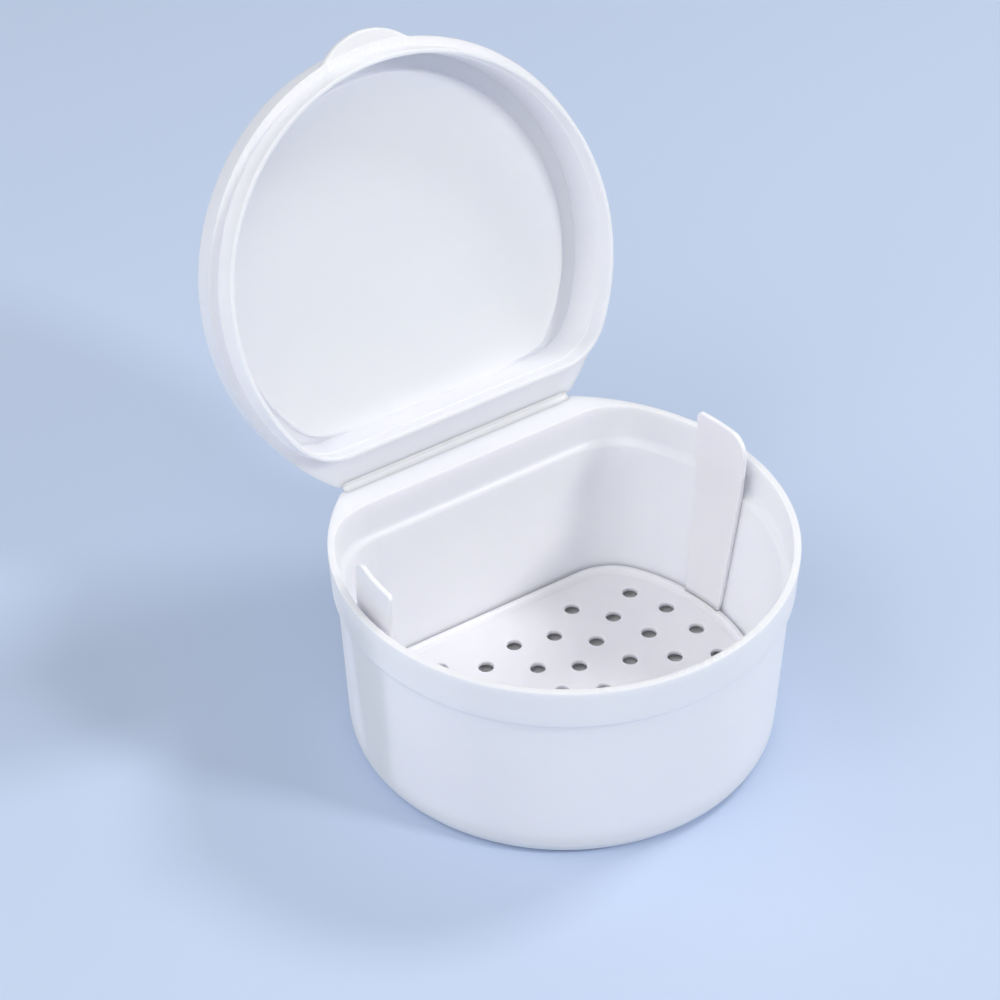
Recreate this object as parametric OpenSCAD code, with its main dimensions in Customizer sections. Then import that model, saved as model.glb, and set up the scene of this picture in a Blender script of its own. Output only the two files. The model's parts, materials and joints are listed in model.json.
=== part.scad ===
// Denture case: a D-shaped cup with a film-hinged lid and a loose strainer tray.
// The origin is the middle of the rim circle, on the plane that the case stands on.
// +Z is up, the hinge is at +Y and the thumb tab of the shut lid is at -Y.

/* [Cup] */
// Outer radius of the rim
rim_r = 46; // [43:0.5:50]
// Height from the foot to the rim
cup_h = 44.8; // [38:0.2:56]
// Distance from the middle of the cup to the hinge line
hinge_y = 36.8; // [36:0.1:39]
// Wall thickness
wall = 1.8; // [1.4:0.1:2.2]
// Floor thickness
floor_t = 1.8; // [1.4:0.1:2.6]
// How far the round wall stands in at the foot
foot_inset = 1.5; // [0.5:0.1:2.4]
// How far the flat back wall stands in at the foot
back_inset = 1; // [0.3:0.1:1.6]
// Radius where the wall turns into the foot
foot_round = 3.4; // [2:0.1:4.5]
// Inner face of the flat back wall, at the rim
back_y = 30.3; // [28:0.1:31.4]
// Radius of the upright inner corners at the ends of the flat wall
corner_r = 13.5; // [9:0.5:15]

/* [Rim] */
// Width of the rim's top face
rim_w = 1.5; // [1.2:0.1:1.8]
// Height of the band round the rim
band_h = 8.8; // [7.4:0.1:12]
// How far the band stands out from the wall below it
band_out = 0.95; // [0.6:0.05:1.3]
// How far the band stands in at its lower edge
band_inset = 0.45; // [0.2:0.05:0.7]
// Depth of the sloped inner ledge below the rim
ledge_depth = 7.6; // [6.2:0.1:9]
// Height of the ledge's slope
ledge_slope = 1.1; // [0.8:0.1:1.6]
// Thickness of both hinge flanges
flange_t = 1.6; // [1.2:0.1:2]

/* [Hinge] */
// How far the lid stands open, measured from shut
lid_open_angle = 110.9; // [0:0.1:180]
// Thickness of the hinge film
film_t = 0.4; // [0.3:0.05:0.5]
// Free length of film between each flange and the hinge line
film_reach = 0.5; // [0.4:0.05:0.8]
// Gap between the shut lid and the rim
lid_gap = 0.2; // [0.1:0.05:0.4]

/* [Lid] */
// Height of the lid above the rim
lid_h = 9.4; // [8.4:0.1:12]
// Thickness of the lid's top
lid_wall = 1.4; // [1.1:0.1:1.8]
// How far the skirt stands in where its shoulder starts
skirt_inset = 1; // [0.4:0.1:1.4]
// Radius of the shoulder between skirt and top
shoulder_r = 3.4; // [2:0.1:4.5]
// Depth of the plug ring below the rim
plug_depth = 4.6; // [3:0.1:5.4]
// Thickness of the plug ring at its root
plug_t = 1.2; // [0.9:0.1:1.4]
// Gap between the plug ring and the inside of the rim
plug_gap = 0.4; // [0.2:0.05:0.6]
// How far the outside of the plug ring stands in at its tip
plug_inset = 0.2; // [0.1:0.05:0.3]
// Depth of the step inside the plug ring, which thins its tip
plug_step = 0.25; // [0.1:0.05:0.4]
// Distance of that step below the rim
plug_step_z = 0.8; // [0.4:0.1:2]
// Width of the groove between the plug ring and the pressed-in panel
groove_w = 3.7; // [2.8:0.1:5]
// Width of the same groove along the flat side
groove_back_w = 0.6; // [0.5:0.05:2]
// How far the panel is pressed in from the ring round it
panel_drop = 1.2; // [0.6:0.1:1.8]
// Corner radius of the panel
panel_corner = 9; // [6:0.5:12]

/* [Thumb tab] */
// How far the tab stands out from the rim
tab_out = 2.9; // [2:0.1:5]
// Radius of the tab's round edge
tab_r = 13.5; // [10:0.5:18]
// Thickness of the tab
tab_t = 1.5; // [1.2:0.1:2]
// Height of the tab's underside above the rim
tab_rise = 0.4; // [0.2:0.1:1.2]

/* [Strainer tray] */
// Gap between the tray and the wall of the cup
tray_gap = 0.45; // [0.3:0.05:0.8]
// Thickness of the tray's floor
tray_t = 1.2; // [1:0.1:1.6]
// Height of the tray's rim above its floor
tray_rim_h = 1.2; // [1:0.1:4]
// Thickness of the tray's rim
tray_rim_t = 1.2; // [1:0.1:1.6]
// Height of the feet under the tray
foot_h = 1; // [0.8:0.1:3]
// Radius of the feet
foot_peg_r = 2; // [1.5:0.1:2.6]
// Gap between the feet and the cup's floor
foot_gap = 0.1; // [0.05:0.05:0.2]
// Radius of the drain holes
drain_r = 1.6; // [1.2:0.1:2]
// Distance from one ring of drain holes to the next
drain_pitch = 8.6; // [7:0.1:12]
// Plain strip between the outer holes and the edge of the tray's underside
drain_margin = 3; // [2:0.1:5]

/* [Lifting ears] */
// Thickness of the ears
ear_t = 1; // [0.8:0.1:1.4]
// Width of the ears, as an angle round the cup
ear_angle = 19.4; // [12:0.1:26]
// Direction of the right ear's middle, from the cup's middle line towards the hinge
ear_turn = 4.2; // [-5:0.1:10]
// Gap between the ears' tips and the plug ring of the shut lid
ear_gap = 0.3; // [0.2:0.05:1]
// Rounding of the ears' upper corners on the side of the tab
ear_corner = 4.4; // [2:0.1:5]
// Rounding of their upper corners on the side of the hinge
ear_back_corner = 1.3; // [1:0.1:3]
// Room between the ears' tips and the groove of the shut lid
ear_play = 1.3; // [1.2:0.1:2.5]

/* [Hidden] */

// Small roundings and leans of edges
rim_edge = 0.35;
lid_edge = 0.35;
film_edge = 0.1;
flange_corner = 1;
panel_lean = 0.1;

// Steps along the round stretches
ARC_STEPS = 30;
SIDE_STEPS = 14;
BACK_STEPS = 5;
ROUND_STEPS = 6;
FILM_STEPS = 10;
$fn = 96;

// Heights in the cup
band_z = cup_h - band_h;
ledge_z = cup_h - ledge_depth;
flange_z = cup_h - flange_t;
flange_root_z = flange_z - flange_t;

// The flanges end short of the hinge line, and the film bridges them
axis_z = cup_h + lid_gap / 2;
flange_y = hinge_y - film_reach;

// Radii at the rim
rim_in_r = rim_r - rim_w;
band_in_r = rim_in_r - plug_inset;
wall_r = rim_r - band_inset - band_out;
back_out_y = back_y + wall;
wall_corner = corner_r + wall;
function band_r(z) = rim_r - band_inset * (cup_h - z) / band_h;

// The walls below the band, at a height above the foot
wall_back_y = back_out_y - ledge_slope;
function wall_out_r(z) = wall_r - foot_inset * (1 - z / band_z);
function wall_out_y(z) = wall_back_y - back_inset * (1 - z / band_z);
function inside_r(z) = wall_out_r(z) - wall;
function inside_y(z) = wall_out_y(z) - wall;

// Distance from the middle to a D outline, in a direction t between -90 and 90 degrees.
// The outline is a circle r, cut by a flat at y = flat, with corners of radius q.
function d_reach(t, r, flat, q) =
  let (fy = flat - q, fx = sqrt(pow(r - q, 2) - fy * fy))
  t <= atan2(fy, fx) ? r
  : t >= atan2(flat, fx) ? flat / sin(t)
  : fx * cos(t) + fy * sin(t) + sqrt(q * q - pow(fx * sin(t) - fy * cos(t), 2));

// Directions of the outline's points, so that every outline has matching points
front_turn = -90;
side_turn = 18;
back_turn = 90;
flange_corner_x = sqrt(pow(rim_r - flange_corner, 2) - pow(flange_y - flange_corner, 2));
corner_from = atan2(flange_y - flange_corner, flange_corner_x);
corner_to = atan2(flange_y, flange_corner_x);
half_turn = concat(
  [for (i = [0 : ARC_STEPS]) front_turn + (side_turn - front_turn) * i / ARC_STEPS],
  [for (i = [1 : SIDE_STEPS]) side_turn + (corner_from - side_turn) * i / SIDE_STEPS],
  [(corner_from + corner_to) / 2, corner_to],
  [for (i = [1 : BACK_STEPS]) corner_to + (back_turn - corner_to) * i / BACK_STEPS]
);
half_n = len(half_turn);

// One D outline, anticlockwise from the front
function d_outline(r, flat, q) = concat(
  [for (t = half_turn) d_reach(t, r, flat, q) * [cos(t), sin(t)]],
  [for (i = [half_n - 2 : -1 : 1])
    let (t = half_turn[i]) d_reach(t, r, flat, q) * [-cos(t), sin(t)]]
);

// A shell swept from outline to outline. Each level is [z, radius, flat, corner radius].
// The first outline is closed facing down, the last facing up.
module d_shell(levels) {
  outlines = [for (l = levels) d_outline(l[1], l[2], l[3])];
  n = len(outlines[0]);
  last = len(levels) - 1;
  points = [for (k = [0 : last]) for (p = outlines[k]) [p[0], p[1], levels[k][0]]];
  sides = [for (k = [0 : last - 1]) for (i = [0 : n - 1])
    let (a = k * n + i, b = k * n + (i + 1) % n)
    each [[a, a + n, b + n], [a, b + n, b]]];
  caps = [[for (i = [0 : n - 1]) i], [for (i = [n - 1 : -1 : 0]) last * n + i]];
  polyhedron(points, concat(caps, sides));
}

// The quarter round between a flat face at from_z and the wall, inset from the outside
function foot_levels(inset, from_z, radius) = [
  for (i = [0 : ROUND_STEPS])
    let (a = 90 * i / ROUND_STEPS, z = from_z + radius * (1 - cos(a)))
    let (d = inset + radius * (1 - sin(a)))
    [z, wall_out_r(z) - d, wall_out_y(z) - d, wall_corner - d]
];
function reversed(list) = [for (i = [len(list) - 1 : -1 : 0]) list[i]];

module cup() {
  outside = concat(
    foot_levels(0, 0, foot_round),
    [[band_z - band_out / 2, wall_r, wall_back_y, wall_corner],
     [band_z, band_r(band_z), back_out_y, wall_corner],
     [flange_root_z, band_r(flange_root_z), back_out_y, wall_corner],
     [flange_z, band_r(flange_z), flange_y, flange_corner],
     [cup_h - rim_edge, rim_r, flange_y, flange_corner],
     [cup_h, rim_r - rim_edge, flange_y - film_edge, flange_corner]]
  );
  inside = [
    [cup_h, rim_in_r + rim_edge, back_y + rim_edge, corner_r],
    [cup_h - rim_edge, rim_in_r, back_y, corner_r],
    [ledge_z, band_in_r, back_y - plug_inset, corner_r],
    [ledge_z - ledge_slope, wall_r - wall, wall_back_y - wall, corner_r]
  ];
  inner_foot = foot_levels(wall, floor_t, foot_round - wall);
  color("white") d_shell(concat(outside, inside, reversed(inner_foot)));
}

// The lid is drawn shut, with heights from the rim plane, and then opened about the hinge line
module opened(angle) {
  translate([0, hinge_y, axis_z])
    rotate([-angle, 0, 0])
      translate([0, -hinge_y, -lid_gap / 2])
        children();
}

// Sizes of the plug ring, from the inside of the rim
plug_r = rim_in_r - plug_gap;
plug_back = back_y - plug_gap;
plug_corner = corner_r - plug_gap;
plug_in_r = plug_r - plug_inset - plug_t;
plug_in_back = plug_back - plug_inset - plug_t;
plug_in_corner = plug_corner - plug_inset - plug_t;

// Sizes of the panel, from the inside of the plug ring
groove_z = lid_h - lid_wall;
panel_z = groove_z - panel_drop;
panel_r = plug_in_r - groove_w;
panel_back = plug_in_back - groove_back_w;

// The skirt above the rim, and the shoulder where it turns into the top
shoulder_z = lid_h - shoulder_r;
function skirt_r(z) = rim_r - skirt_inset * z / shoulder_z;
shoulder_levels = [
  for (i = [0 : ROUND_STEPS])
    let (a = 90 * i / ROUND_STEPS, d = shoulder_r * (1 - cos(a)))
    [shoulder_z + shoulder_r * sin(a), skirt_r(shoulder_z) - d, back_out_y - d, wall_corner - d]
];

module thumb_tab() {
  translate([0, tab_r - rim_r - tab_out, tab_rise])
    intersection() {
      cylinder(r = tab_r, h = tab_t);
      translate([-tab_r, -tab_r, 0])
        cube([tab_r * 2, tab_out + plug_t + rim_w, tab_t]);
    }
}

module lid() {
  panel = [
    [panel_z, panel_r - lid_edge, panel_back - lid_edge, panel_corner],
    [panel_z + lid_edge, panel_r, panel_back, panel_corner],
    [groove_z, panel_r + panel_lean, panel_back + panel_lean, panel_corner],
    [groove_z, plug_in_r - lid_edge, plug_in_back - lid_edge, plug_in_corner],
    [groove_z - lid_edge, plug_in_r, plug_in_back, plug_in_corner]
  ];
  tip_in_r = plug_in_r + plug_step;
  tip_in_back = plug_in_back + plug_step;
  tip_z = -plug_depth;
  plug = [
    [-plug_step_z, plug_in_r, plug_in_back, plug_in_corner],
    [-plug_step_z - plug_step, tip_in_r, tip_in_back, plug_in_corner],
    [tip_z + plug_inset, tip_in_r, tip_in_back, plug_in_corner],
    [tip_z, tip_in_r + plug_inset, tip_in_back + plug_inset, plug_in_corner],
    [tip_z, plug_r - plug_inset * 2, plug_back - plug_inset * 2, plug_corner],
    [tip_z + plug_inset, plug_r - plug_inset, plug_back - plug_inset, plug_corner],
    [lid_gap, plug_r, plug_back, plug_corner]
  ];
  skirt = [
    [lid_gap, rim_r - lid_edge, flange_y - film_edge, flange_corner],
    [lid_gap + lid_edge, rim_r, flange_y, flange_corner],
    [flange_t, skirt_r(flange_t), flange_y, flange_corner],
    [flange_t * 2, skirt_r(flange_t * 2), back_out_y, wall_corner]
  ];
  recess_r = panel_r - lid_wall;
  recess_back = panel_back - lid_wall;
  recess = [
    [lid_h, recess_r + panel_drop, recess_back + panel_drop, panel_corner],
    [lid_h - panel_drop, recess_r, recess_back, panel_corner]
  ];
  color("white") opened(lid_open_angle) {
    d_shell(concat(panel, plug, skirt, shoulder_levels, recess));
    thumb_tab();
  }
}

// The film's middle line is a curve from the cup's flange to the lid's, smooth with both.
// Its end stretches leave the flanges straight over this share of the free film.
film_straight = 0.6;
function turned(p, a) = [p[0] * cos(a) + p[1] * sin(a), p[1] * cos(a) - p[0] * sin(a)];
function along(a, b, t) = a * (1 - t) + b * t;
function curve(p, t) =
  let (a = along(p[0], p[1], t), b = along(p[1], p[2], t), c = along(p[2], p[3], t))
  along(along(a, b, t), along(b, c, t), t);
function across(v) = [-v[1], v[0]] / norm(v);

module hinge_film() {
  drop = (lid_gap + film_t) / 2;
  bend_y = film_reach * (film_straight - 1);
  ends = [
    [-film_reach, -drop],
    [bend_y, -drop],
    turned([bend_y, drop], lid_open_angle),
    turned([-film_reach, drop], lid_open_angle)
  ];
  middle = [for (i = [0 : FILM_STEPS]) curve(ends, i / FILM_STEPS)];
  side = [for (i = [0 : FILM_STEPS])
    i == 0 ? [0, 1]
    : i == FILM_STEPS ? turned([0, -1], lid_open_angle)
    : across(middle[i + 1] - middle[i - 1])];
  section = concat(
    [for (i = [0 : FILM_STEPS]) middle[i] + side[i] * film_t / 2],
    [for (i = [FILM_STEPS : -1 : 0]) middle[i] - side[i] * film_t / 2]
  );
  film_x = flange_corner_x - flange_corner / 2;
  color("white")
    translate([-film_x, hinge_y, axis_z])
      rotate([90, 0, 90])
        linear_extrude(height = film_x * 2)
          polygon(section);
}

// Heights and sizes of the tray
tray_z = floor_t + foot_gap + foot_h;
tray_floor_z = tray_z + tray_t;
tray_top_z = tray_floor_z + tray_rim_h;
tray_corner = corner_r - tray_gap;
function tray_r(z) = inside_r(z) - tray_gap;
function tray_back(z) = inside_y(z) - tray_gap;

// The underside is narrower than the floor, by its thickness, to clear the cup's inner foot
tray_foot_r = tray_r(tray_z) - tray_t;
tray_foot_back = tray_back(tray_z) - tray_t;

module tray_dish() {
  rim_in = tray_r(tray_top_z) - tray_rim_t;
  rim_back = tray_back(tray_top_z) - tray_rim_t;
  rim_lean = tray_rim_h / 2;
  in_corner = tray_corner - tray_rim_t;
  d_shell([
    [tray_z, tray_foot_r, tray_foot_back, tray_corner],
    [tray_floor_z, tray_r(tray_floor_z), tray_back(tray_floor_z), tray_corner],
    [tray_top_z, tray_r(tray_top_z), tray_back(tray_top_z), tray_corner],
    [tray_top_z, rim_in, rim_back, in_corner],
    [tray_floor_z, rim_in - rim_lean, rim_back - rim_lean, in_corner]
  ]);
}

// Drain holes in rings, left out where they would come too near the flat side
drain_rings = floor((tray_foot_r - drain_margin - drain_r) / drain_pitch);
drain_back = tray_foot_back - drain_margin - drain_r;
function ring_count(ring) = max(1, ring * 6);
drain_places = [for (ring = [0 : drain_rings]) for (i = [1 : ring_count(ring)])
  let (a = back_turn + i * 360 / ring_count(ring), p = ring * drain_pitch * [cos(a), sin(a)])
  if (p[1] < drain_back) p];

// Feet stand between the outer rings of holes
peg_ring = (drain_rings - 0.5) * drain_pitch;
peg_angles = [40, 140, 220, 320];

ear_tip_r = plug_in_r - ear_gap;
ear_top_z = cup_h + groove_z - ear_play;

// The right ear leans out along the wall up to the ledge, and stands upright above it
module ear() {
  root_r = tray_r(tray_top_z);
  bend_z = ledge_z - ledge_slope;
  bend_r = tray_r(bend_z);
  rotate([0, 0, ear_turn])
    intersection() {
      rotate([0, 0, -ear_angle])
        rotate_extrude(angle = ear_angle * 2)
          polygon([
            [root_r, tray_floor_z],
            [bend_r, bend_z],
            [ear_tip_r, ear_top_z],
            [ear_tip_r - ear_t, ear_top_z],
            [bend_r - ear_t, bend_z],
            [root_r - ear_t, tray_floor_z]
          ]);
      translate([0, 0, tray_floor_z])
        rotate([90, 0, 90])
          linear_extrude(height = rim_r)
            ear_front(ear_tip_r * sin(ear_angle / 2), ear_top_z - tray_floor_z);
    }
}

// The ear seen from the middle of the cup: an upright strip with a wide round corner
// towards the tab and a small one towards the hinge
module ear_front(half_w, tall) {
  front = half_w - ear_corner;
  back = half_w - ear_back_corner;
  translate([-half_w, 0])
    square([half_w * 2, tall - ear_corner]);
  translate([-front, 0])
    square([front + half_w, tall - ear_back_corner]);
  translate([-front, 0])
    square([front + back, tall]);
  translate([-front, tall - ear_corner])
    circle(r = ear_corner);
  translate([back, tall - ear_back_corner])
    circle(r = ear_back_corner);
}

module tray() {
  color("ghostwhite") {
    difference() {
      tray_dish();
      for (p = drain_places)
        translate([p[0], p[1], tray_z - foot_h])
          cylinder(r = drain_r, h = foot_h * 2 + tray_t);
    }
    for (a = peg_angles)
      rotate([0, 0, a])
        translate([peg_ring, 0, floor_t + foot_gap])
          cylinder(r = foot_peg_r, h = foot_h + tray_t / 2);
    ear();
    mirror([1, 0, 0])
      ear();
  }
}

cup();
lid();
hinge_film();
tray();
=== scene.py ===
"""Looks of the denture case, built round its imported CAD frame. Profiles are in millimetres."""

import json
import math

import bmesh
import bpy
import numpy as np
from mathutils import Matrix, Vector


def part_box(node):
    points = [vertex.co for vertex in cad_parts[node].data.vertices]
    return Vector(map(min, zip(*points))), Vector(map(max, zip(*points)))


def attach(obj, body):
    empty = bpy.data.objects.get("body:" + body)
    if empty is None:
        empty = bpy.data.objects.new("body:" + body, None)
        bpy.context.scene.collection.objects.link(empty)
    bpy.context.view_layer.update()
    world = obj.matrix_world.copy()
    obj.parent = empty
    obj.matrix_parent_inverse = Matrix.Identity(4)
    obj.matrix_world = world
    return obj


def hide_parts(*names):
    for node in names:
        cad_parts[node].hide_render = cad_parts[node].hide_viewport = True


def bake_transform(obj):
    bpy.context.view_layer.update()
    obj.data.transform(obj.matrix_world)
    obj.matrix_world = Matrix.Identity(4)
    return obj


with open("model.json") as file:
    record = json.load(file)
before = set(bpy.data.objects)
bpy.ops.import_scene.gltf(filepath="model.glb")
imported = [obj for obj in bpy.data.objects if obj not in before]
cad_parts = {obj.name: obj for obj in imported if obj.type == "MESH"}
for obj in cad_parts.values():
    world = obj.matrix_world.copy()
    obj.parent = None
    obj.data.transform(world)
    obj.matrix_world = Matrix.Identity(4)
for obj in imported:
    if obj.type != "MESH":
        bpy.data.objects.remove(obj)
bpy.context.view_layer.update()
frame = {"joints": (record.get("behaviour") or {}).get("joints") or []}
MM = 0.001


def corner_mm(node, high):
    """One corner of a CAD node's box at rest, in millimetres."""
    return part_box(node)[high] / MM


def joint(name):
    return next(j for j in frame["joints"] if j["name"] == name)


# Sizes read from the frame
RIM_R, FLANGE_Y, CUP_H = corner_mm("cup", 1)
TRAY_FOOT_Z = corner_mm("tray", 0).z
EAR_TOP_Z = corner_mm("tray", 1).z
LID_OPEN = math.radians(joint("lid_hinge")["range_deg"][1])
HINGE_Y, HINGE_Z = (v / MM for v in joint("lid_hinge")["pos_m"][1:])

# Sizes of the cup, as in its CAD solid
WALL = 1.8
FLOOR_T = 1.8
FOOT_INSET = 1.5
BACK_INSET = 1.0
FOOT_ROUND = 3.4
BACK_Y = 30.3
CORNER_R = 13.5
RIM_W = 1.5
BAND_H = 8.8
BAND_OUT = 0.95
BAND_INSET = 0.45
LEDGE_DEPTH = 7.6
LEDGE_SLOPE = 1.1
FLANGE_T = 1.6
FLANGE_CORNER = 1.0

# Sizes of the hinge and the lid
FILM_T = 0.4
FILM_GRIP = 0.55
FILM_RISE = 0.02
FILM_STRAIGHT = 0.35
LID_H = 9.4
LID_WALL = 1.4
SKIRT_INSET = 1.0
SHOULDER_R = 3.4
PLUG_DEPTH = 4.6
PLUG_T = 1.2
PLUG_GAP = 0.4
PLUG_INSET = 0.2
PLUG_STEP = 0.25
PLUG_STEP_Z = 0.8
GROOVE_W = 3.7
GROOVE_BACK_W = 0.6
GROOVE_END_X = 19.0
GROOVE_END_W = 9.0
PANEL_DROP = 1.2
PANEL_CORNER = 9.0
PANEL_LEAN = 0.1
TAB_OUT = 2.9
TAB_R = 13.5
TAB_T = 1.5
TAB_RISE = 0.4
TAB_SOFT = 0.5
CAP_INSET = 8.0

# Sizes of the tray, which lies turned a little in its play
TRAY_TURN = math.radians(-0.68)
TRAY_GAP = 0.45
TRAY_T = 1.2
TRAY_RIM_H = 1.2
TRAY_RIM_T = 1.2
FOOT_H = 1.0
PEG_R = 2.0
DRAIN_R = 1.6
DRAIN_PITCH = 8.6
DRAIN_MARGIN = 3.0
DRAIN_EDGE = 0.25
PEG_ANGLES = (40, 140, 220, 320)
FLOOR_EDGE = 0.3
FLOOR_CAP = 0.6
EAR_T = 1.0
EAR_ANGLE = math.radians(19.4)
EAR_TURN = math.radians(4.88)
EAR_GAP = 0.3
EAR_CORNER = 4.4
EAR_BACK_CORNER = 1.3
EAR_EDGE = 0.24
EAR_TAPER = 4.4
EAR_SPRING = 0.4
EAR_SPRING_H = 4.0

# Worked out from them
BAND_Z = CUP_H - BAND_H
LEDGE_Z = CUP_H - LEDGE_DEPTH
RIM_IN_R = RIM_R - RIM_W
WALL_R = RIM_R - BAND_INSET - BAND_OUT
BACK_OUT_Y = BACK_Y + WALL
WALL_BACK_Y = BACK_OUT_Y - LEDGE_SLOPE
WALL_CORNER = CORNER_R + WALL
LID_GAP = (HINGE_Z - CUP_H) * 2
PLUG_R = RIM_IN_R - PLUG_GAP
PLUG_BACK = BACK_Y - PLUG_GAP
PLUG_IN_R = PLUG_R - PLUG_INSET - PLUG_T
PLUG_IN_BACK = PLUG_BACK - PLUG_INSET - PLUG_T
PLUG_CORNER = CORNER_R - PLUG_GAP
PLUG_IN_CORNER = PLUG_CORNER - PLUG_INSET - PLUG_T
GROOVE_Z = LID_H - LID_WALL
PANEL_Z = GROOVE_Z - PANEL_DROP
PANEL_R = PLUG_IN_R - GROOVE_W
PANEL_BACK = PLUG_IN_BACK - GROOVE_BACK_W
TRAY_FLOOR_Z = TRAY_FOOT_Z + FOOT_H + TRAY_T
TRAY_TOP_Z = TRAY_FLOOR_Z + TRAY_RIM_H
TRAY_CORNER = CORNER_R - TRAY_GAP
EAR_TIP_R = PLUG_IN_R - EAR_GAP

# Fineness of the meshes
TURN_STEP = 1.25
FINE_STEP = 0.25
FINE_REACH = 3.0
TAB_REACH = 16.0
FILLET_STEPS = 5
EAR_ROWS = 15
EAR_COLUMNS = 16
EAR_CORNER_TURNS = np.radians(np.linspace(6, 90, 13))
EDGE_TURNS = np.radians(np.linspace(0, 90, 5))
HOLE_STEPS = 28
PEG_STEPS = 32
FILM_STEPS = 18
FILM_COLUMNS = 41
MERGE = 1e-7

# Plastics: colour, duller colour of its clouds, and how deep light goes into it, in metres
PLASTICS = {
    "case_polypropylene": ((0.905, 0.902, 0.953), (0.875, 0.874, 0.928), 0.003),
    "film_polypropylene": ((0.94, 0.943, 0.99), (0.92, 0.923, 0.97), 0.0004),
    "tray_polypropylene": ((0.91, 0.906, 0.957), (0.883, 0.881, 0.932), 0.0007),
}

# Stage, light and camera
FLOOR_COLOUR = (0.56, 0.66, 0.84)
FLOOR_R = 1.0

# Lamps round the case: azimuth, elevation, width in metres, and strength on a face turned to it
LAMPS = {
    "key": (31, 33, 0.16, 0.32),
    "side": (86, 50, 0.25, 0.3),
    "back": (125, 50, 0.5, 0.06),
    "left": (-60, 48, 1.0, 0.34),
    "left_back": (-110, 40, 1.0, 0.33),
}
LAMP_DISTANCE = 1.1
LAMP_COLOUR = (1.0, 1.0, 1.0)
SKY_STRENGTH = 0.25
SKY_COLOUR = (0.92, 0.95, 1.0)

# The photograph's camera, fitted to the outlines of the rim, the lid and the foot
CAMERA_AZIMUTH = -34.76
CAMERA_ELEVATION = 38.262
CAMERA_ROLL = -0.283
CAMERA_DISTANCE = 550.0
CAMERA_LENS = 100.68
AIM = (0.0, 10.0, 44.85)
AIM_RIGHT = -6.739
AIM_UP = 1.706


def band_r(z):
    return RIM_R - BAND_INSET * (CUP_H - z) / BAND_H


def wall_out_r(z):
    return WALL_R - FOOT_INSET * (1 - z / BAND_Z)


def wall_out_y(z):
    return WALL_BACK_Y - BACK_INSET * (1 - z / BAND_Z)


def skirt_r(z):
    return RIM_R - SKIRT_INSET * z / (LID_H - SHOULDER_R)


def tray_r(z):
    return wall_out_r(z) - WALL - TRAY_GAP


def tray_back(z):
    return wall_out_y(z) - WALL - TRAY_GAP


def reach(turn, r, flat, q):
    """Distance from the middle to a D outline in each direction: a circle r with a flat at y = flat."""
    c, s = np.abs(np.cos(turn)), np.sin(turn)
    t = np.arctan2(s, c)
    fy = flat - q
    fx = math.sqrt((r - q) ** 2 - fy * fy)
    bend = fx * c + fy * s + np.sqrt(np.maximum(q * q - (fx * s - fy * c) ** 2, 0))
    on_flat = flat / np.maximum(s, MERGE)
    return np.where(t <= math.atan2(fy, fx), r, np.where(t >= math.atan2(flat, fx), on_flat, bend))


def tab_reach(turn, r):
    """How far the thumb tab stands out beyond a circle r in each direction, with soft roots."""
    c, s = np.cos(turn), np.sin(turn)
    middle = TAB_R - RIM_R - TAB_OUT
    beside = TAB_R ** 2 - (middle * c) ** 2
    out = np.where(beside > 0, middle * s + np.sqrt(np.maximum(beside, 0)) - r, -TAB_OUT)
    soft = np.clip((out + TAB_SOFT) / (2 * TAB_SOFT), 0, 1) ** 2 * TAB_SOFT
    return np.where(s < 0, np.where(out > TAB_SOFT, out, soft), 0)


def directions():
    """Directions of the outlines' points, closer together at the flange's ends and at the tab."""
    end = math.degrees(math.atan2(FLANGE_Y, math.sqrt(RIM_R ** 2 - FLANGE_Y ** 2)))
    turn = set(np.arange(-90, 90.01, TURN_STEP))
    turn |= set(np.arange(end - FINE_REACH, end + FINE_REACH, FINE_STEP))
    turn |= set(np.arange(-90, TAB_REACH - 90, FINE_STEP * 2))
    right = np.array(sorted(turn))
    left = 180 - right[-2:0:-1]
    return np.radians(np.concatenate([right, left]))


TURN = directions()


def fillets(levels):
    """Profile levels (z, radius, flat, corner, setback, tab) with a curve in place of each corner."""
    full = [tuple(level) + (0,) * (6 - len(level)) for level in levels]
    setback = [level[4] for level in full]
    p = np.array([level[:4] + (level[5] * TAB_OUT,) for level in full], float)
    out = [p[0]]
    for k in range(1, len(p) - 1):
        before, after = p[k - 1] - p[k], p[k + 1] - p[k]
        if setback[k] == 0:
            out.append(p[k])
            continue
        start = p[k] + before * min(0.5, setback[k] / max(np.abs(before).max(), MERGE))
        end = p[k] + after * min(0.5, setback[k] / max(np.abs(after).max(), MERGE))
        for s in np.linspace(0, 1, FILLET_STEPS + 1):
            out.append(start * (1 - s) ** 2 + p[k] * 2 * s * (1 - s) + end * s ** 2)
    out.append(p[-1])
    return out


def outline(level):
    """The points of one D outline, in millimetres."""
    z, r, flat, q, tab = level
    d = reach(TURN, r, flat, q)
    if tab > 0:
        d = d + tab_reach(TURN, r) * tab / TAB_OUT
    return np.c_[d * np.cos(TURN), d * np.sin(TURN), np.full(len(TURN), z)]


def loft(bm, loops, closed=False):
    """Adds rings of points, joined by faces, to a mesh and returns the rings' vertices."""
    rings = [[bm.verts.new(Vector(p) * MM) for p in loop] for loop in loops]
    pairs = list(zip(rings, rings[1:]))
    for low, high in pairs:
        for i in range(len(low)):
            j = (i + 1) % len(low)
            bm.faces.new((low[i], low[j], high[j], high[i]))
    if closed:
        bm.faces.new(rings[0][::-1])
        bm.faces.new(rings[-1])
    return rings


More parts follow.
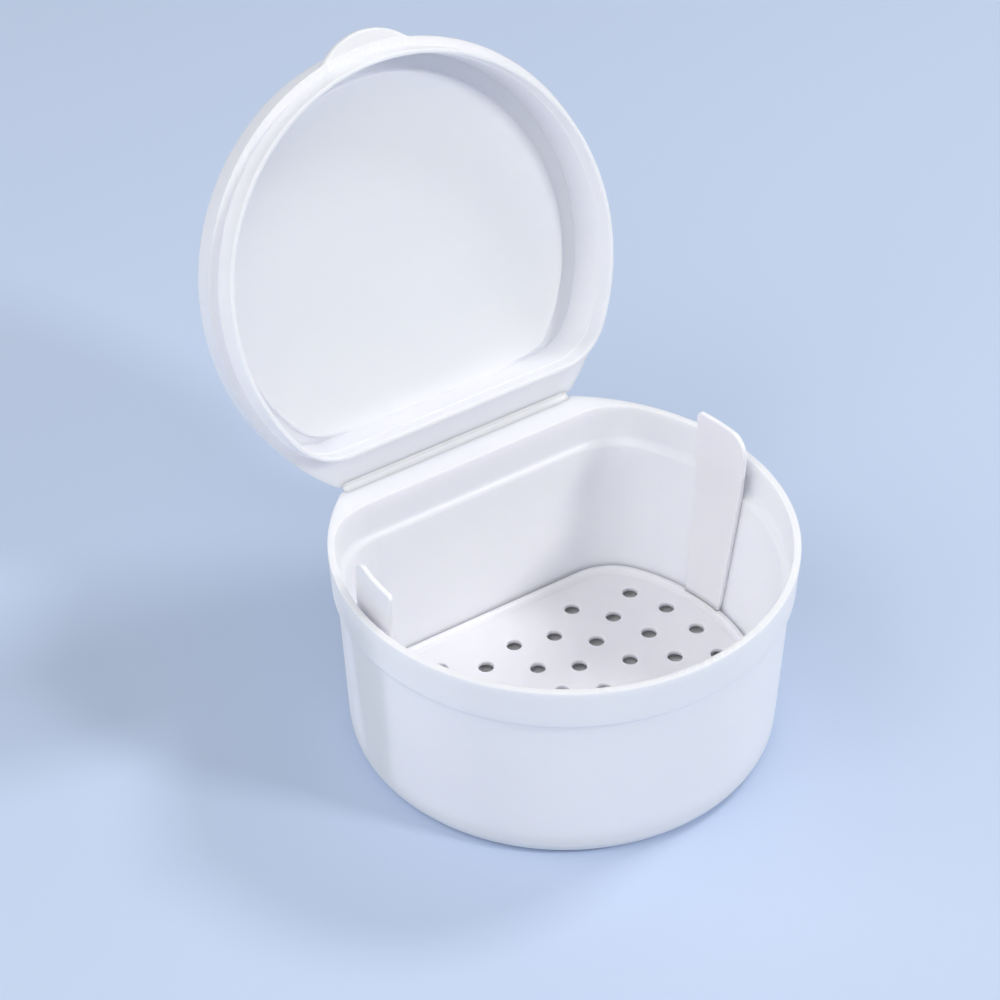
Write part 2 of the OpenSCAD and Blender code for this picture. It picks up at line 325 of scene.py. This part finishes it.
def make_piece(name, bm, body, nodes, material):
    """Turns a mesh into a finished piece that stands for CAD nodes and rides on their body."""
    bmesh.ops.remove_doubles(bm, verts=bm.verts, dist=MERGE)
    bmesh.ops.dissolve_degenerate(bm, edges=bm.edges, dist=MERGE)
    bmesh.ops.recalc_face_normals(bm, faces=bm.faces)
    mesh = bpy.data.meshes.new(name)
    bm.to_mesh(mesh)
    bm.free()
    mesh.shade_smooth()
    piece = bpy.data.objects.new(name, mesh)
    bpy.context.scene.collection.objects.link(piece)
    mesh.materials.append(material)
    normals = piece.modifiers.new("flat faces stay flat", "WEIGHTED_NORMAL")
    normals.keep_sharp = True
    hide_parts(*nodes)
    if body:
        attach(piece, body)
    return piece


def foot_levels(inset, from_z, radius):
    """The quarter round between a flat face and the cup's wall, inset from the outside."""
    levels = []
    for a in np.radians(np.linspace(0, 90, FILLET_STEPS * 2 + 1)):
        z = from_z + radius * (1 - math.cos(a))
        d = inset + radius * (1 - math.sin(a))
        levels.append((z, wall_out_r(z) - d, wall_out_y(z) - d, WALL_CORNER - d))
    return levels


def build_cup(material):
    flange_z = CUP_H - FLANGE_T
    flange_root_z = flange_z - FLANGE_T
    step_z = BAND_Z - BAND_OUT / 2
    profile = foot_levels(0, 0, FOOT_ROUND) + [
        (step_z, WALL_R, WALL_BACK_Y, WALL_CORNER, 0.5),
        (BAND_Z, band_r(BAND_Z), BACK_OUT_Y, WALL_CORNER, 0.45),
        (flange_root_z, band_r(flange_root_z), BACK_OUT_Y, WALL_CORNER, 1.0),
        (flange_z, band_r(flange_z), FLANGE_Y, FLANGE_CORNER, 0.4),
        (CUP_H, RIM_R, FLANGE_Y, FLANGE_CORNER, 0.4),
        (CUP_H, RIM_IN_R, BACK_Y, CORNER_R, 0.45),
        (LEDGE_Z, RIM_IN_R - PLUG_INSET, BACK_Y - PLUG_INSET, CORNER_R, 0.6),
        (LEDGE_Z - LEDGE_SLOPE, WALL_R - WALL, WALL_BACK_Y - WALL, CORNER_R, 0.6),
    ] + foot_levels(WALL, FLOOR_T, FOOT_ROUND - WALL)[::-1]
    bm = bmesh.new()
    loft(bm, [outline(level) for level in fillets(profile)], closed=True)
    return make_piece("cup_shell", bm, "cup", ["cup"], material)


def opened():
    """Takes a point of the shut lid, with heights from the rim plane, to where it is at rest."""
    hinge = Vector((0, HINGE_Y, HINGE_Z)) * MM
    shut = Vector((0, -HINGE_Y, -LID_GAP / 2)) * MM
    return Matrix.Translation(hinge) @ Matrix.Rotation(-LID_OPEN, 4, "X") @ Matrix.Translation(shut)


def lid_profile():
    tip_in_r, tip_in_back = PLUG_IN_R + PLUG_STEP, PLUG_IN_BACK + PLUG_STEP
    tip_r, tip_back = PLUG_R - PLUG_INSET, PLUG_BACK - PLUG_INSET
    shoulder_z = LID_H - SHOULDER_R
    tab_low, tab_high = TAB_RISE, TAB_RISE + TAB_T
    recess_r, recess_back = PANEL_R - LID_WALL, PANEL_BACK - LID_WALL
    inside = [
        (PANEL_Z, PANEL_R - CAP_INSET, PANEL_BACK - CAP_INSET, PANEL_CORNER),
        (PANEL_Z, PANEL_R, PANEL_BACK, PANEL_CORNER, 0.7),
        (GROOVE_Z, PANEL_R + PANEL_LEAN, PANEL_BACK + PANEL_LEAN, PANEL_CORNER, 0.25),
        (GROOVE_Z, PLUG_IN_R, PLUG_IN_BACK, PLUG_IN_CORNER, 0.25),
        (-PLUG_STEP_Z, PLUG_IN_R, PLUG_IN_BACK, PLUG_IN_CORNER, 0.1),
        (-PLUG_STEP_Z - PLUG_STEP, tip_in_r, tip_in_back, PLUG_IN_CORNER, 0.1),
        (-PLUG_DEPTH, tip_in_r, tip_in_back, PLUG_IN_CORNER, 0.4),
        (-PLUG_DEPTH, tip_r, tip_back, PLUG_CORNER, 0.4),
        (LID_GAP, PLUG_R, PLUG_BACK, PLUG_CORNER, 0.2),
    ]
    outside = [
        (LID_GAP, RIM_R, FLANGE_Y, FLANGE_CORNER, 0.3),
        (tab_low, skirt_r(tab_low), FLANGE_Y, FLANGE_CORNER, 0.25),
        (tab_low, skirt_r(tab_low), FLANGE_Y, FLANGE_CORNER, 0.4, 1),
        (tab_high, skirt_r(tab_high), FLANGE_Y, FLANGE_CORNER, 0.4, 1),
        (tab_high, skirt_r(tab_high), FLANGE_Y, FLANGE_CORNER, 0.6),
        (FLANGE_T * 2, skirt_r(FLANGE_T * 2), BACK_OUT_Y, WALL_CORNER, 0.8),
    ]
    shoulder = []
    for a in np.radians(np.linspace(0, 90, FILLET_STEPS * 2 + 1)):
        d = SHOULDER_R * (1 - math.cos(a))
        z = shoulder_z + SHOULDER_R * math.sin(a)
        shoulder.append((z, skirt_r(shoulder_z) - d, BACK_OUT_Y - d, WALL_CORNER - d))
    recess = [
        (LID_H, recess_r + PANEL_DROP, recess_back + PANEL_DROP, PANEL_CORNER, 0.8),
        (LID_H - PANEL_DROP, recess_r, recess_back, PANEL_CORNER, 0.8),
        (LID_H - PANEL_DROP, recess_r - CAP_INSET, recess_back - CAP_INSET, PANEL_CORNER),
    ]
    return inside + outside + shoulder + recess


def run_out(level, loop):
    """Lets the groove beside the lid's panel get shallower towards the flat side, where it ends."""
    z, r = level[:2]
    if PANEL_Z < z <= GROOVE_Z and r < PLUG_IN_R + MERGE:
        x, y = np.abs(loop[:, 0]), loop[:, 1]
        t = np.clip((x - GROOVE_END_X) / GROOVE_END_W, 0, 1)
        shallow = np.where(y > 0, 1 - t * t * (3 - 2 * t), 0)
        on_panel_side = r < (PANEL_R + PLUG_IN_R) / 2
        loop[:, 2] -= shallow * (z - PANEL_Z if on_panel_side else PANEL_DROP)
    return loop


def build_lid(material):
    bm = bmesh.new()
    loft(bm, [run_out(level, outline(level)) for level in fillets(lid_profile())], closed=True)
    bm.transform(opened())
    return make_piece("lid_shell", bm, "lid", ["lid"], material)


def circle(x, y, z, r, steps):
    turn = np.linspace(0, 2 * math.pi, steps, endpoint=False)
    return np.c_[x + r * np.cos(turn), y + r * np.sin(turn), np.full(steps, z)]


def drain_places(foot_r, foot_back):
    """Middles of the drain holes: rings of them, with a plain strip along the flat side."""
    rings = int((foot_r - DRAIN_MARGIN - DRAIN_R) / DRAIN_PITCH)
    places = []
    for ring in range(rings + 1):
        count = max(1, ring * 6)
        for i in range(count):
            a = math.pi / 2 + 2 * math.pi * i / count
            x, y = ring * DRAIN_PITCH * math.cos(a), ring * DRAIN_PITCH * math.sin(a)
            if y < foot_back - DRAIN_MARGIN - DRAIN_R:
                places.append((x, y))
    return places, (rings - 0.5) * DRAIN_PITCH


def fill(bm, outer, holes, up):
    """A flat face within an outer ring of vertices and round the holes in it."""
    edges = []
    for ring in [outer] + holes:
        for i in range(len(ring)):
            pair = (ring[i - 1], ring[i])
            edges.append(bm.edges.get(pair) or bm.edges.new(pair))
    bmesh.ops.triangle_fill(bm, use_beauty=True, edges=edges, normal=(0, 0, up))


def build_tray(material):
    foot_z = TRAY_FLOOR_Z - TRAY_T
    foot_r, foot_back = tray_r(foot_z) - TRAY_T, tray_back(foot_z) - TRAY_T
    rim_in, rim_back = tray_r(TRAY_TOP_Z) - TRAY_RIM_T, tray_back(TRAY_TOP_Z) - TRAY_RIM_T
    in_corner = TRAY_CORNER - TRAY_RIM_T
    lean = TRAY_RIM_H / 2
    profile = [
        (foot_z, foot_r - FLOOR_EDGE, foot_back - FLOOR_EDGE, TRAY_CORNER),
        (foot_z, foot_r, foot_back, TRAY_CORNER, 0.3),
        (TRAY_FLOOR_Z, tray_r(TRAY_FLOOR_Z), tray_back(TRAY_FLOOR_Z), TRAY_CORNER, 0.6),
        (TRAY_TOP_Z, tray_r(TRAY_TOP_Z), tray_back(TRAY_TOP_Z), TRAY_CORNER, 0.4),
        (TRAY_TOP_Z, rim_in, rim_back, in_corner, 0.4),
        (TRAY_FLOOR_Z, rim_in - lean, rim_back - lean, in_corner, 0.5),
        (TRAY_FLOOR_Z, rim_in - lean - FLOOR_CAP, rim_back - lean - FLOOR_CAP, in_corner),
    ]
    bm = bmesh.new()
    rings = loft(bm, [outline(level) for level in fillets(profile)])
    places, peg_ring = drain_places(foot_r, foot_back)
    floor_holes, foot_holes = [], []
    for x, y in places:
        bore = [(TRAY_FLOOR_Z, DRAIN_R + DRAIN_EDGE),
                (TRAY_FLOOR_Z - DRAIN_EDGE / 3, DRAIN_R + DRAIN_EDGE / 3),
                (TRAY_FLOOR_Z - DRAIN_EDGE, DRAIN_R),
                (foot_z + DRAIN_EDGE, DRAIN_R),
                (foot_z, DRAIN_R + DRAIN_EDGE)]
        hole = loft(bm, [circle(x, y, z, r, HOLE_STEPS) for z, r in bore])
        floor_holes.append(hole[0])
        foot_holes.append(hole[-1])
    for a in np.radians(PEG_ANGLES):
        x, y = peg_ring * math.cos(a), peg_ring * math.sin(a)
        levels = [(foot_z, PEG_R + DRAIN_EDGE),
                  (foot_z - DRAIN_EDGE, PEG_R),
                  (TRAY_FOOT_Z + DRAIN_EDGE, PEG_R),
                  (TRAY_FOOT_Z, PEG_R - DRAIN_EDGE)]
        peg = loft(bm, [circle(x, y, z, r, PEG_STEPS) for z, r in levels])
        bm.faces.new(peg[-1])
        foot_holes.append(peg[0])
    fill(bm, rings[-1], floor_holes, 1)
    fill(bm, rings[0], foot_holes, -1)
    for side in (-1, 1):
        build_ear(bm, side)
    bm.transform(Matrix.Rotation(TRAY_TURN, 4, "Z"))
    return make_piece("strainer_tray", bm, "tray", ["tray"], material)


def corner_half(z, half_w, q):
    """Half the width of an ear at a height, on the side that has a round corner q."""
    up = max(0.0, z - (EAR_TOP_Z - q))
    return half_w - q + math.sqrt(max(q * q - up * up, 0))


def build_ear(bm, side):
    """One lifting ear: a thin curved strip along the wall. Each is the other turned by half a turn."""
    root_z, bend_z = TRAY_FLOOR_Z, LEDGE_Z - LEDGE_SLOPE
    half_w = EAR_TIP_R * math.sin(EAR_ANGLE / 2)
    knee_z = root_z + EAR_SPRING_H
    sides = ((root_z, tray_r(TRAY_TOP_Z)), (knee_z, tray_r(knee_z) + EAR_SPRING),
             (bend_z, tray_r(bend_z) + EAR_SPRING), (EAR_TOP_Z, EAR_TIP_R))
    heights = set(np.linspace(root_z, EAR_TOP_Z - EAR_CORNER, EAR_ROWS)) | {knee_z, bend_z}
    heights |= {EAR_TOP_Z - EAR_CORNER * (1 - math.sin(a)) for a in EAR_CORNER_TURNS}
    heights |= {EAR_TOP_Z - EAR_BACK_CORNER * (1 - math.sin(a)) for a in EAR_CORNER_TURNS[:-1]}
    loops = []
    taper_h = EAR_TOP_Z - EAR_CORNER - root_z
    side_u, side_r = EAR_EDGE * np.sin(EDGE_TURNS), EAR_EDGE * (1 - np.cos(EDGE_TURNS))
    for z in sorted(heights):
        taper = EAR_TAPER * max(root_z + taper_h - z, 0) / taper_h
        front = corner_half(z, half_w, EAR_CORNER) - taper
        back = corner_half(z, half_w, EAR_BACK_CORNER)
        out_r = np.interp(z, *zip(*sides))
        fall = max(EAR_EDGE - (EAR_TOP_Z - z), 0)
        thin = EAR_EDGE - math.sqrt(EAR_EDGE ** 2 - fall ** 2)
        u = np.linspace(EAR_EDGE - front, back - EAR_EDGE, EAR_COLUMNS)
        ring = [(v, out_r - thin) for v in u[:-1]]
        ring += [(u[-1] + s, out_r - thin - d) for s, d in zip(side_u, side_r)]
        ring += [(u[-1] + s, out_r - EAR_T + thin + d) for s, d in zip(side_u[::-1], side_r[::-1])]
        ring += [(v, out_r - EAR_T + thin) for v in u[-2:0:-1]]
        ring += [(u[0] - s, out_r - EAR_T + thin + d) for s, d in zip(side_u, side_r)]
        ring += [(u[0] - s, out_r - thin - d) for s, d in zip(side_u[:0:-1], side_r[:0:-1])]
        turn = [EAR_TURN + side * v / EAR_TIP_R for v, r in ring]
        loops.append([(side * r * math.cos(a), r * math.sin(a), z) for a, (v, r) in zip(turn, ring)])
    loft(bm, loops, closed=True)


def film_middle():
    """The film's middle line at rest, from flange to flange, as (y, z) from the hinge with its normal.

    Both ends reach a little way onto the flanges and stand just proud of their faces.
    """
    reach_y, drop = HINGE_Y - FLANGE_Y, (LID_GAP + FILM_T) / 2
    bend_y = reach_y * (FILM_STRAIGHT - 1)

    def turned(y, z):
        c, s = math.cos(LID_OPEN), math.sin(LID_OPEN)
        return np.array([y * c + z * s, z * c - y * s])

    edges = [np.array([-reach_y, -drop]), turned(-reach_y, drop)]
    ends = [np.array([-reach_y, -drop + FILM_RISE]), np.array([bend_y, -drop]),
            turned(bend_y, drop), turned(-reach_y, drop - FILM_RISE)]
    line = [(np.array([-reach_y - FILM_GRIP, -drop + FILM_RISE]), np.array([0.0, 1.0]))]
    for t in np.linspace(0, 1, FILM_STEPS + 1):
        a, b, c, d = (1 - t) ** 3, 3 * t * (1 - t) ** 2, 3 * t * t * (1 - t), t ** 3
        point = a * ends[0] + b * ends[1] + c * ends[2] + d * ends[3]
        slope = ((1 - t) ** 2 * (ends[1] - ends[0]) + 2 * t * (1 - t) * (ends[2] - ends[1])
                 + t * t * (ends[3] - ends[2]))
        normal = np.array([-slope[1], slope[0]]) / np.linalg.norm(slope)
        line.append((point, normal))
    line.append((turned(-reach_y - FILM_GRIP, drop - FILM_RISE), line[-1][1]))
    return line, edges


def build_film(material):
    half_x = math.sqrt((RIM_R - FLANGE_CORNER) ** 2 - (FLANGE_Y - FLANGE_CORNER) ** 2)
    half_x -= FLANGE_CORNER / 2
    xs = np.linspace(-half_x, half_x, FILM_COLUMNS)
    line, edges = film_middle()
    bm = bmesh.new()
    section = [p + n * FILM_T / 2 for p, n in line] + [p - n * FILM_T / 2 for p, n in line[::-1]]
    loft(bm, [[(x, HINGE_Y + y, HINGE_Z + z) for y, z in section] for x in xs], closed=True)
    film = make_piece("hinge_web", bm, None, ["hinge_film"], material)
    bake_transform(film)
    return film


def add(tree, kind, **values):
    """A shader node with some of its settings and input values."""
    node = tree.nodes.new(kind)
    for key, value in values.items():
        if key in node.inputs:
            node.inputs[key].default_value = value
        else:
            setattr(node, key, value)
    return node


def moulded_plastic(name):
    """White polypropylene: satin, a little translucent, with a faint mould grain and fine scuffs."""
    colour, dull, depth = PLASTICS[name]
    material = bpy.data.materials.new(name)
    material.use_nodes = True
    tree = material.node_tree
    link = tree.links.new
    shader = tree.nodes["Principled BSDF"]
    place = add(tree, "ShaderNodeTexCoord")

    clouds = add(tree, "ShaderNodeTexNoise", Scale=28.0, Detail=3.0, Roughness=0.55)
    link(place.outputs["Object"], clouds.inputs["Vector"])
    tint = add(tree, "ShaderNodeValToRGB")
    tint.color_ramp.elements[0].position = 0.3
    tint.color_ramp.elements[0].color = (*dull, 1)
    tint.color_ramp.elements[1].position = 0.7
    tint.color_ramp.elements[1].color = (*colour, 1)
    link(clouds.outputs["Fac"], tint.inputs["Fac"])
    link(tint.outputs["Color"], shader.inputs["Base Color"])

    stretch = add(tree, "ShaderNodeMapping", Scale=(1.0, 6.0, 1.5))
    stretch.inputs["Rotation"].default_value = (0.3, 0.5, 0.7)
    link(place.outputs["Object"], stretch.inputs["Vector"])
    scuffs = add(tree, "ShaderNodeTexNoise", Scale=260.0, Detail=5.0, Roughness=0.7)
    link(stretch.outputs["Vector"], scuffs.inputs["Vector"])
    gloss = add(tree, "ShaderNodeMapRange")
    gloss.inputs["From Min"].default_value = 0.35
    gloss.inputs["From Max"].default_value = 0.75
    gloss.inputs["To Min"].default_value = 0.34
    gloss.inputs["To Max"].default_value = 0.46
    link(scuffs.outputs["Fac"], gloss.inputs["Value"])
    link(gloss.outputs["Result"], shader.inputs["Roughness"])

    grain = add(tree, "ShaderNodeTexNoise", Scale=1500.0, Detail=2.0, Roughness=0.5)
    link(place.outputs["Object"], grain.inputs["Vector"])
    wave = add(tree, "ShaderNodeTexNoise", Scale=60.0, Detail=1.0)
    link(place.outputs["Object"], wave.inputs["Vector"])
    fine = add(tree, "ShaderNodeBump", Strength=0.25, Distance=0.00002)
    link(grain.outputs["Fac"], fine.inputs["Height"])
    soft = add(tree, "ShaderNodeBump", Strength=0.35, Distance=0.00012)
    link(wave.outputs["Fac"], soft.inputs["Height"])
    link(fine.outputs["Normal"], soft.inputs["Normal"])
    link(soft.outputs["Normal"], shader.inputs["Normal"])

    shader.inputs["IOR"].default_value = 1.49
    shader.inputs["Subsurface Weight"].default_value = 1.0
    shader.inputs["Subsurface Radius"].default_value = (1.0, 1.0, 1.1)
    shader.inputs["Subsurface Scale"].default_value = depth
    return material


def floor_material():
    material = bpy.data.materials.new("pale_floor")
    material.use_nodes = True
    tree = material.node_tree
    shader = tree.nodes["Principled BSDF"]
    shader.inputs["Base Color"].default_value = (*FLOOR_COLOUR, 1)
    shader.inputs["Roughness"].default_value = 0.75
    shader.inputs["Specular IOR Level"].default_value = 0.2
    return material


def build_floor():
    bm = bmesh.new()
    bmesh.ops.create_circle(bm, cap_ends=True, segments=96, radius=FLOOR_R)
    mesh = bpy.data.meshes.new("floor")
    bm.to_mesh(mesh)
    bm.free()
    mesh.materials.append(floor_material())
    floor = bpy.data.objects.new("floor", mesh)
    bpy.context.scene.collection.objects.link(floor)


def add_lamp(name, azimuth, elevation, size, strength):
    """A soft square lamp aimed at the case. A face turned to it gets this share of its colour."""
    a, e = math.radians(azimuth), math.radians(elevation)
    back = Vector((math.sin(a) * math.cos(e), -math.cos(a) * math.cos(e), math.sin(e)))
    lamp = bpy.data.lights.new(name, "AREA")
    lamp.shape = "SQUARE"
    lamp.size = size
    lamp.energy = strength * (math.pi * LAMP_DISTANCE) ** 2
    lamp.color = LAMP_COLOUR
    light = bpy.data.objects.new(name, lamp)
    bpy.context.scene.collection.objects.link(light)
    light.location = Vector((0, 0, CUP_H * MM)) + back * LAMP_DISTANCE
    light.rotation_euler = (-back).to_track_quat("-Z", "Y").to_euler()


def set_world(light_strength, light_colour):
    """Even light from all round, and a plain pale backdrop for what looks past the floor."""
    world = bpy.data.worlds.new("studio")
    bpy.context.scene.world = world
    world.use_nodes = True
    tree = world.node_tree
    tree.nodes.clear()
    out = add(tree, "ShaderNodeOutputWorld")
    mix = add(tree, "ShaderNodeMixShader")
    lit = add(tree, "ShaderNodeBackground", Color=(*light_colour, 1), Strength=light_strength)
    seen = add(tree, "ShaderNodeBackground", Color=(*FLOOR_COLOUR, 1), Strength=1.0)
    path = add(tree, "ShaderNodeLightPath")
    tree.links.new(path.outputs["Is Camera Ray"], mix.inputs["Fac"])
    tree.links.new(lit.outputs["Background"], mix.inputs[1])
    tree.links.new(seen.outputs["Background"], mix.inputs[2])
    tree.links.new(mix.outputs["Shader"], out.inputs["Surface"])


def build_camera():
    a, e, roll = (math.radians(v) for v in (CAMERA_AZIMUTH, CAMERA_ELEVATION, CAMERA_ROLL))
    back = Vector((math.sin(a) * math.cos(e), -math.cos(a) * math.cos(e), math.sin(e)))
    level = Vector((math.cos(a), math.sin(a), 0))
    upright = back.cross(level)
    right = level * math.cos(roll) + upright * math.sin(roll)
    up = upright * math.cos(roll) - level * math.sin(roll)
    aim = Vector(AIM) + right * AIM_RIGHT + up * AIM_UP
    lens = bpy.data.cameras.new("camera")
    lens.lens = CAMERA_LENS
    lens.sensor_width = 36.0
    lens.clip_start = 0.01
    lens.clip_end = 100.0
    camera = bpy.data.objects.new("camera", lens)
    bpy.context.scene.collection.objects.link(camera)
    turn = Matrix((right, up, back)).transposed().to_4x4()
    camera.matrix_world = Matrix.Translation((aim + back * CAMERA_DISTANCE) * MM) @ turn
    bpy.context.scene.camera = camera


case_plastic = moulded_plastic("case_polypropylene")
film_plastic = moulded_plastic("film_polypropylene")
tray_plastic = moulded_plastic("tray_polypropylene")
build_cup(case_plastic)
build_lid(case_plastic)
build_film(film_plastic)
build_tray(tray_plastic)

build_floor()
set_world(SKY_STRENGTH, SKY_COLOUR)
for name, lamp in LAMPS.items():
    add_lamp(name, *lamp)
build_camera()
bpy.context.scene.view_settings.view_transform = "Standard"
